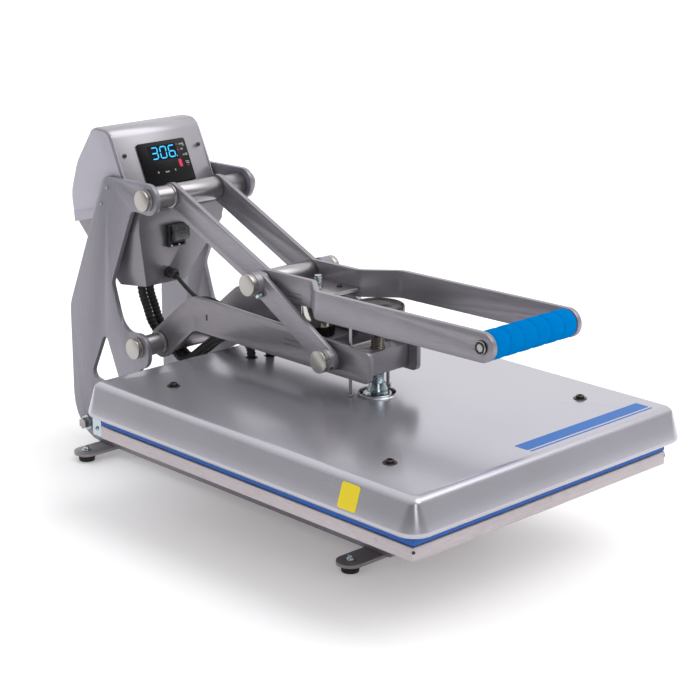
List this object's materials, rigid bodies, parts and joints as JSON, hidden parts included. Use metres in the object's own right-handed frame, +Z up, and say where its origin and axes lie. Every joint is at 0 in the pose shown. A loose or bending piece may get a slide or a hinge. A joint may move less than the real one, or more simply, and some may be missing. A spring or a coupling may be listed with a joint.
{
  "type": "heat press",
  "caption": "Clam-type heat press: a padded flat bed, a covered heated platen on twin arms, a toggle lever with a cross grip and a control head on a slim rear tower.",
  "frame": {"origin": "centre of the bounding box's footprint, on the table the rubber feet stand on", "axes": "+X to the operator's right, +Y from the grip towards the tower, +Z up"},
  "size_m": [0.4384, 0.751, 0.421],
  "materials": {
    "frame_paint": "satin silver-grey powder coat",
    "hood_paint": "satin silver-grey powder coat",
    "arm_paint": "brushed under a thin silver coat",
    "lever_paint": "satin silver-grey coat",
    "base_paint": "semi-gloss grey coat",
    "cover_paint": "smooth semi-gloss silver coat",
    "platen_aluminium": "sawn and lightly polished",
    "pad_silicone": "matt blue silicone",
    "foot_rubber": "matt",
    "pin_nickel": "turned, warm nickel plate",
    "turned_steel": "turned",
    "magnet_chrome": "turned and plated",
    "spindle_black": "black oxide and moulded black",
    "display_gloss": "gloss black window",
    "switch_plastic": "moulded black",
    "cable_black": "black sleeve",
    "grip_foam": "soft blue sleeve"
  },
  "bodies": {
    "base": {"foot_bar_front": "base_paint", "foot_bar_rear": "base_paint", "rubber_foot_front_left": "foot_rubber", "rubber_foot_rear_left": "foot_rubber", "rubber_foot_front_right": "foot_rubber", "rubber_foot_rear_right": "foot_rubber", "base_beam": "base_paint", "pedestal": "base_paint", "lower_platen": "platen_aluminium", "silicone_pad": "pad_silicone", "tower_web": "frame_paint", "rear_tie_rod": "turned_steel", "upper_pivot_pin": "pin_nickel", "lower_pivot_pin": "pin_nickel", "tower_plate_left": "frame_paint", "tower_plate_right": "frame_paint", "upper_spacer_left": "turned_steel", "upper_spacer_right": "turned_steel", "lower_spacer_left": "turned_steel", "lower_spacer_right": "turned_steel", "hood_side_left": "hood_paint", "hood_side_right": "hood_paint", "hood_cover": "hood_paint", "display_panel": "display_gloss", "control_box": "hood_paint", "switch_frame": "switch_plastic", "cable_gland": "switch_plastic", "power_inlet": "switch_plastic", "conduit_left_tower": "cable_black", "conduit_right_tower": "cable_black", "magnet_lead_tower": "cable_black"},
    "arm": {"arm_left": "arm_paint", "arm_right": "arm_paint", "arm_pivot_tube": "turned_steel", "front_block": "arm_paint", "magnet_mount": "arm_paint", "electromagnet": "magnet_chrome", "magnet_lead_arm": "cable_black", "conduit_left_arm": "cable_black", "conduit_right_arm": "cable_black"},
    "platen": {"heat_cover": "cover_paint", "heat_platen": "platen_aluminium", "spindle_socket": "turned_steel", "guide_rod_left": "turned_steel", "guide_rod_right": "turned_steel"},
    "links": {"short_link_left": "lever_paint", "short_link_right": "lever_paint", "front_pin": "pin_nickel", "knee_stub_left": "pin_nickel", "knee_stub_right": "pin_nickel"},
    "handle": {"lever_left": "lever_paint", "lever_right": "lever_paint", "upper_tube": "turned_steel", "knee_tube": "turned_steel", "strike_plate": "turned_steel", "grip_rod": "turned_steel", "grip": "grip_foam"},
    "spindle": {"spindle": "turned_steel", "pressure_knob": "spindle_black"},
    "switch": {"power_rocker": "switch_plastic"}
  },
  "joints": [
    {"name": "arm_hinge", "type": "hinge", "parent": "base", "child": "arm", "pos_m": [0, 0.2375, 0.1575], "axis": [-1, 0, 0], "range_deg": [0, 39.78]},
    {"name": "link_hinge", "type": "hinge", "parent": "arm", "child": "links", "pos_m": [0, -0.0745, 0.206], "axis": [1, 0, 0], "range_deg": [0, 63.3]},
    {"name": "handle_hinge", "type": "hinge", "parent": "base", "child": "handle", "pos_m": [0, 0.2115, 0.3475], "axis": [-1, 0, 0], "range_deg": [0, 80.1]},
    {"name": "pressure_slide", "type": "slide", "parent": "arm", "child": "platen", "axis": [0, 0, 1], "range_m": [0, 0.006]},
    {"name": "spindle_spin", "type": "hinge", "parent": "platen", "child": "spindle", "pos_m": [0, -0.1045, 0.2], "axis": [0, 0, 1], "range_deg": [0, 1081]},
    {"name": "rocker_hinge", "type": "hinge", "parent": "base", "child": "switch", "pos_m": [-0.012, 0.238, 0.2885], "axis": [-1, 0, 0], "range_deg": [0, 12]}
  ],
  "couplings": [
    {"joint": "link_hinge", "follows": "arm_hinge", "ratio": 1.5885},
    {"joint": "handle_hinge", "follows": "arm_hinge", "ratio": 2.0111},
    {"joint": "spindle_spin", "follows": "pressure_slide", "rad_per_m": 3141.6}
  ]
}
